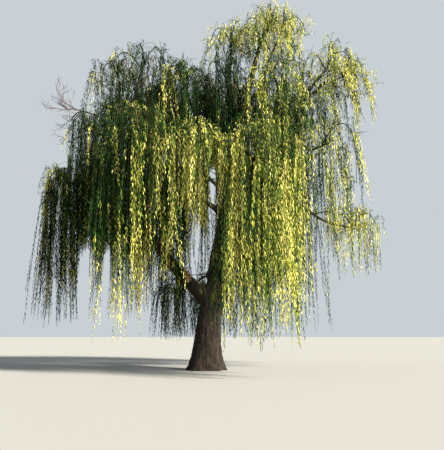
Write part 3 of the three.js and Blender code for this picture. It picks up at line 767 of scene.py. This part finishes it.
def grow_along_bough(crown, key, limb, row, index):
    """Tassels along the outer part of a bough, and side twigs that carry more of them."""
    rng = default_rng(SEEDS.bough + index)
    line = limb.line
    is_stem = limb.radii[1] > BOUGH_TIP
    first = line.length * (ALONG.start_on_stem if is_stem else ALONG.start)
    run = line.length - first
    count = round(run / ALONG.spacing)
    for i in range(count):
        share = (first + run * (i + rng.random()) / count) / line.length
        foot = line.at(share * line.length)
        turn = GOLDEN_TURN * i + ALONG.turn * index
        # Tassels along the bough are painted darker, as shade inside the crown.
        tassel_along(crown, foot, turn, ALONG_TASSEL.reach, share, row, limb, SHADE.along, rng)
    count = round(run / SIDE_TWIGS.spacing * min(SIDE_TWIGS.fullest, row.fullness))
    for i in range(count):
        spot = i + SIDE_TWIGS.after + SIDE_TWIGS.jitter * rng.random()
        share = (first + run * spot / count) / line.length
        foot = line.at(share * line.length)
        off = SIDE_TWIGS.off * (-1) ** i * rng.uniform(*SIDE_TWIGS.offs)
        turn = bearing_of(line.along(share * line.length)) + off
        if BOUGHS[key].angles[1] > UPRIGHT:
            turn = GOLDEN_TURN * i + SIDE_TWIGS.turn * index
        twig = side_twig(foot, turn, is_stem, row, limb, rng)
        crown.leading.append(twig_tube(twig.points, SIDE_TWIG))
        for k in range(ON_TWIG.tassels):
            spot = (k + rng.random()) / ON_TWIG.tassels
            on_twig = twig.at(twig.length * (ON_TWIG.bare + (1 - ON_TWIG.bare) * spot))
            aside = GOLDEN_TURN * k + turn
            # Tassels on side twigs are painted darker too, most on the stems' side twigs.
            lighter = SHADE.along if is_stem else SHADE.side
            tassel_along(crown, on_twig, aside, ON_TWIG.reach, share, row, limb, lighter, rng)


def side_twig(foot, turn, is_stem, row, limb, rng):
    """A twig that leaves a bough sideways, rises as far as the mass's roof allows and arches over."""
    length = SIDE_TWIG.length * rng.uniform(*SIDE_TWIG.lengths) * (SIDE_TWIG.on_stem if is_stem else 1)
    out = heading(turn, 0) * length
    room = roof(row, limb, foot[:2] + out[:2]) - foot[2]
    up = np.array([0, 0, max(0, min(SIDE_TWIG.rise * length, room))])
    return Line(rounded(bent(foot, out, up, SIDE_TWIG_BENDS), 2))


def roof(row, limb, place):
    """The height of a mass's crest over a place: it falls away from the bough's end."""
    return row.crest - ALONG.slope * np.linalg.norm(place - limb.line.points[-1][:2])


def tassel_along(crown, foot, turn, reach, share, row, limb, lighter, rng):
    """A tassel on a bough or side twig, painted lighter by lighter, which paints shade when below 0. Nearer
    the trunk its strands end higher.
    """
    place = foot[:2] + heading(turn, 0)[:2] * reach * rng.uniform(*ALONG_TASSEL.outs)
    crest = min(foot[2] + ALONG_TASSEL.rise * rng.uniform(*ALONG_TASSEL.rises), roof(row, limb, place))
    lowest = row.hem + ALONG.inward * (1 - share) + ALONG.ragged * rng.random()
    falls = [row.fall * rng.uniform(*ALONG_TASSEL.falls) for _ in range(ALONG_TASSEL.strands)]
    ends = [max(lowest, foot[2] - fall) for fall in falls]
    crown.tassel(foot, place, crest, ends, lights_of(row, lighter, lighter, rng), rng)


def grow_crown(limbs):
    crown = Crown()
    for index, (key, row) in enumerate(MASSES.items()):
        grow_mass(crown, key, row, index, limbs)
        grow_along_bough(crown, key, limbs[key], row, index)
    grow_ropes(crown, limbs)
    return crown


def leaves_on(crown):
    """Where every leaf grows: its foot, its twig's direction, its bearing, its size and its tint, which
    paints its light and shade.
    """
    spacing = sum(line.length - first for line, first, _, _ in crown.strands) / LEAF_COUNT
    leaves = []
    for index, (line, first, lights, lot) in enumerate(crown.strands):
        rng = default_rng(SEEDS.strand + index)
        run = line.length - first
        count = int(run / spacing)
        if count < 2:
            continue
        s = first + (np.arange(count) + rng.random(count)) * run / count
        sprays = rng.normal(0, MOTTLE.spray, int(line.length / SPRAY_LENGTH) + 2)
        sprays += rng.normal(0, MOTTLE.strand)
        foot = line.at(s)
        # A leaf's tint paints light and shade: its tassel's painted lights at this height, a random change
        # for each spray, and the clumps' painted light and shade.
        shade = np.interp(foot[:, 2], *zip(*lights)) + sprays[(s / SPRAY_LENGTH + lot).astype(int)]
        shade += clump_light(foot)
        tint = np.searchsorted(TINT_STEPS, shade)
        if lot < RUSSET_SHARE:
            tint = np.full(count, list(TINTS).index("russet"))
        bearing = GOLDEN_TURN * np.arange(count) + 360 * lot + rng.normal(0, LEAVES.turn, count)
        grown = LEAVES.smallest + (1 - LEAVES.smallest) * np.clip((line.length - s) / LEAVES.run, 0, 1)
        size = rng.uniform(*LEAVES.sizes, count) * grown
        leaves.append((foot, line.along(s), bearing, size, tint))
    return [np.concatenate(part) for part in zip(*leaves)]


def clump_light(points):
    """How much lighter the foliage is painted here: it stands in clumps, and some shade others."""
    around = CLUMP.around
    bearing = (np.arctan2(points[:, 1], points[:, 0]) / (2 * np.pi)) % 1 * around
    reach = np.hypot(points[:, 0], points[:, 1])
    noise = value_noise(bearing, points[:, 2] / CLUMP.tall + reach / CLUMP.deep, around, SEEDS.clumps)
    return CLUMP.depth * (2 * noise - 1)


def leaf_mesh(feet, twigs, bearings, sizes, rng):
    """Narrow leaves, each of two faces, that leave their twig at a slant and bend down to a point."""
    count = len(feet)
    radial = heading(bearings, np.zeros(count))
    down = np.array([0, 0, -1.0])
    off = rng.uniform(*LEAF_BASE.off, (count, 1))
    first = unit(LEAF_BASE.follow * twigs + off * radial + LEAF_BASE.sag * down)
    last = unit(LEAF_END.follow * twigs + LEAF_END.off * radial + LEAF_END.sag * down)
    level = heading(bearings + 90, np.zeros(count))
    roll = np.radians(rng.uniform(-LEAVES.roll, LEAVES.roll, count))[:, None]
    width = unit(level * np.cos(roll) + np.cross(first, level) * np.sin(roll))
    length = (LEAF.length * sizes)[:, None]
    half = width * length * LEAF.width / 2
    widest = feet + first * length * LEAF.widest
    tip = widest + last * length * (1 - LEAF.widest)
    points = np.stack([feet, widest + half, widest - half, tip], axis=1)
    corners = np.array([[0, 2, 1], [1, 2, 3]])
    faces = (np.arange(count)[:, None, None] * 4 + corners).reshape(-1, 3)
    return points.reshape(-1, 3), faces


# Materials.


def new_material(name):
    material = bpy.data.materials.new(name)
    material.use_nodes = True
    nodes, links = material.node_tree.nodes, material.node_tree.links
    return material, nodes, links, nodes["Principled BSDF"]


def set_inputs(node, values):
    for name, value in values.items():
        node.inputs[name].default_value = value


def leaf_material(tint, colour):
    """A plain leaf that lets some of the light through."""
    material, nodes, links, leaf = new_material("leaf_" + tint)
    # Leaves of the painted-shade tints get no sheen, which paints their shade deeper.
    sheen = LEAF_LOOK.sheen if tint in SUNLIT_TINTS else 0.0
    look = {"Base Color": (*colour, 1), "Roughness": LEAF_LOOK.roughness, "Specular IOR Level": sheen}
    set_inputs(leaf, look)
    through = nodes.new("ShaderNodeBsdfTranslucent")
    lit = [min(1, part * more) for part, more in zip(colour, LEAF_LOOK.through_tint)]
    set_inputs(through, {"Color": (*lit, 1)})
    mix = nodes.new("ShaderNodeMixShader")
    set_inputs(mix, {"Fac": LEAF_LOOK.through})
    links.new(leaf.outputs["BSDF"], mix.inputs[1])
    links.new(through.outputs["BSDF"], mix.inputs[2])
    links.new(mix.outputs["Shader"], nodes["Material Output"].inputs["Surface"])
    return material


def wood_material(name):
    """Bark or bare wood: a streaked colour that runs along the limb, and a fine relief."""
    dark, pale, grain, roughness, bump = WOODS[name]
    material, nodes, links, wood = new_material(name)
    place = nodes.new("ShaderNodeTexCoord")
    stretch = nodes.new("ShaderNodeMapping")
    set_inputs(stretch, {"Scale": grain})
    streaks = nodes.new("ShaderNodeTexNoise")
    set_inputs(streaks, {"Scale": 1.0, "Detail": WOOD_LOOK.detail, "Roughness": WOOD_LOOK.contrast})
    ramp = nodes.new("ShaderNodeValToRGB")
    ends = (WOOD_LOOK.dark_below, dark), (WOOD_LOOK.pale_above, pale)
    for element, (position, colour) in zip(ramp.color_ramp.elements, ends):
        element.position = position
        element.color = (*colour, 1)
    relief = nodes.new("ShaderNodeBump")
    set_inputs(relief, {"Strength": bump, "Distance": WOOD_LOOK.relief})
    links.new(place.outputs["Object"], stretch.inputs["Vector"])
    links.new(stretch.outputs["Vector"], streaks.inputs["Vector"])
    links.new(streaks.outputs["Fac"], ramp.inputs["Fac"])
    links.new(ramp.outputs["Color"], wood.inputs["Base Color"])
    links.new(streaks.outputs["Fac"], relief.inputs["Height"])
    links.new(relief.outputs["Normal"], wood.inputs["Normal"])
    set_inputs(wood, {"Roughness": roughness, "Specular IOR Level": WOOD_LOOK.sheen})
    return material


# The pieces.


def add_leaves(crown, nodes):
    *leaves, tints = leaves_on(crown)
    for number, (tint, colour) in enumerate(TINTS.items()):
        material = leaf_material(tint, colour)
        chosen = np.flatnonzero(tints == number)
        chunks = math.ceil(len(chosen) * 2 / MOST_FACES)
        for part, mine in enumerate(np.array_split(chosen, chunks)):
            rng = default_rng(SEEDS.piece + 10 * number + part)
            points, faces = leaf_mesh(*(values[mine] for values in leaves), rng)
            name = f"leaves_{tint}" if chunks == 1 else f"leaves_{tint}_{part + 1}"
            piece = mesh_object(name, points, faces, material, False)
            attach(piece, "root")
            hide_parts(*nodes)


def add_twigs(crown, nodes):
    young = wood_material("young_twig")
    leading = mesh_object("leading_twigs", *joined(crown.leading), young)
    strands = [twig_tube(line.points, STRAND) for line, _, _, _ in crown.strands]
    half = len(strands) // 2
    first = mesh_object("hanging_twigs_1", *joined(strands[:half]), young)
    second = mesh_object("hanging_twigs_2", *joined(strands[half:]), young)
    for piece in (leading, first, second):
        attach(piece, "root")
        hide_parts(*nodes)


def add_limbs(limbs):
    bark = wood_material("furrowed_bark")
    trunk = mesh_object("trunk_bark", *trunk_mesh(limbs["trunk"]), bark)
    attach(trunk, "root")
    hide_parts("trunk")
    names = [name for name in BOUGHS if name != "dead_bough"]
    parts = [limb_mesh(limbs[name], WOOD_SEEDS.limb_bark + 7 * index) for index, name in enumerate(names)]
    boughs = mesh_object("bough_bark", *joined(parts), bark)
    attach(boughs, "root")
    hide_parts(*names)


def bare_twig(foot, turn, rise, length):
    """A slightly bent twig that stays inside the solids' box on the left."""
    bend = FORK_BEND
    end = foot + heading(turn, rise) * length
    end[0] = max(end[0], CAD_BOX[0][0] / MM + bend.inside)
    return limb_line(foot, end, rise - bend.drop, rise + bend.lift, bend.bow, bend.crook, bend.step)[0]


def forked(twig, climb, rng):
    """The bare twigs that fork from one, and the finer ones that fork from them."""
    parts = []
    for j in range(FORKS.count):
        foot = twig.at(twig.length * (FORKS.start + (FORKS.stop - FORKS.start) * j / FORKS.count))
        rise = climb + rng.uniform(-FORKS.rise, FORKS.rise)
        turn = 180 + rng.uniform(-FORKS.turn, FORKS.turn)
        fork = bare_twig(foot, turn, rise, rng.uniform(*FORKS.length))
        parts.append(twig_tube(fork.points, FORKS))
        for _ in range(FINER.count):
            foot = fork.at(fork.length * rng.uniform(*FINER.along))
            turn = 180 + rng.uniform(-FINER.turn, FINER.turn)
            steeper = rise + rng.uniform(-FINER.rise, FINER.rise)
            last = bare_twig(foot, turn, steeper, rng.uniform(*FINER.length))
            parts.append(twig_tube(last.points, FINER))
    return parts


def add_dead_twigs(limbs):
    """The dead bough, its stem and the bare twigs that fan out from it, forked twice."""
    limb = limbs["dead_bough"]
    stem, tube = stem_of(limb, DEAD_STEM.sunk, DEAD_STEM.tip)
    parts = [limb_mesh(limb, WOOD_SEEDS.dead_bark), tube]
    rng = default_rng(WOOD_SEEDS.dead)
    for k in range(DEAD.count):
        share = k / (DEAD.count - 1)
        climb = DEAD.fan * (share - 0.5)
        foot = stem.at(stem.length * (STEM.lowest + (STEM.highest - STEM.lowest) * share))
        aim = heading(180 + DEAD.spread * math.sin(4 * k), climb)
        end = foot + aim * DEAD.length * (1 - DEAD.shorter * (k % 2))
        twig, _ = limb_line(foot, end, climb / 2, climb + DEAD_BEND.lift, DEAD_BEND.bow, DEAD_BEND.crook)
        parts.append(twig_tube(twig.points, DEAD))
        parts += forked(twig, climb + DEAD_BEND.lift, rng)
    dry = wood_material("dead_twig")
    dead = mesh_object("dead_twigs_bare", *joined(parts), dry)
    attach(dead, "root")
    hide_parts("dead_bough", "dead_twigs")


def add_torn_wood(limb):
    """Pale splinters on the front of the left limb, where a side limb was torn off."""
    line = limb.line
    inset = radius_at(limb, TORN.along) * np.array(TORN.inset)
    heart = line.at(line.length * TORN.along) - inset
    rng = default_rng(WOOD_SEEDS.torn)
    parts = []
    for k in range(TORN.count):
        across = TORN.across * (k / (TORN.count - 1) - 0.5)
        foot = heart + np.array([across, TORN.deep * rng.uniform(-0.5, 0.5), 0])
        lean = rng.normal(0, SPLINTER.lean)
        forward = -TORN.deep * rng.random()
        rise = np.array([lean, forward, TORN.tall * rng.uniform(*TORN.talls)])
        middle = foot + rise / 2 + rng.normal(0, SPLINTER.crook, 3)
        parts.append(twig_tube(np.array([foot, middle, foot + rise]), SPLINTER))
    pale = wood_material("torn_wood")
    torn = mesh_object("torn_splinters", *joined(parts), pale)
    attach(torn, "root")
    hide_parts("left_limb")


# The studio.


def add_studio():
    """A pale floor and sky, a large soft key light from the right, and the camera."""
    corners = np.array([[-1, -1, 0], [1, -1, 0], [1, 1, 0], [-1, 1, 0]]) * FLOOR.half_width
    grey, _, _, shader = new_material("floor")
    set_inputs(shader, {"Base Color": (*FLOOR.colour, 1), "Roughness": FLOOR.roughness})
    floor = mesh_object("floor", corners, np.array([[0, 1, 2, 3]]), grey, False)
    floor.location.z = -FLOOR.below * MM

    world = bpy.data.worlds.new("studio")
    world.use_nodes = True
    sky = {"Color": (*SKY_LIGHT.colour, 1), "Strength": SKY_LIGHT.strength}
    set_inputs(world.node_tree.nodes["Background"], sky)
    bpy.context.scene.world = world

    light = bpy.data.lights.new("key", "SUN")
    light.energy = SUN.strength
    light.angle = math.radians(SUN.angle)
    light.color = SUN.colour
    key = in_scene("key", light)
    key.rotation_euler = (math.radians(90 - SUN.height), 0, math.radians(SUN.bearing + 90))

    camera = in_scene("camera", bpy.data.cameras.new("camera"))
    camera.data.lens = CAMERA.lens
    camera.data.clip_end = CAMERA.clip_end
    camera.location = EYE * MM
    camera.rotation_euler = (math.radians(90 + CAMERA.pitch), 0, 0)
    bpy.context.scene.camera = camera
    bpy.context.scene.view_settings.view_transform = "Standard"


def main():
    limbs = lay_out_limbs()
    crown = grow_crown(limbs)
    foliage_nodes = [row.name for row in MASSES.values()]
    add_limbs(limbs)
    add_dead_twigs(limbs)
    add_torn_wood(limbs["left_limb"])
    add_twigs(crown, foliage_nodes)
    add_leaves(crown, foliage_nodes)
    add_studio()
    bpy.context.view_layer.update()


main()
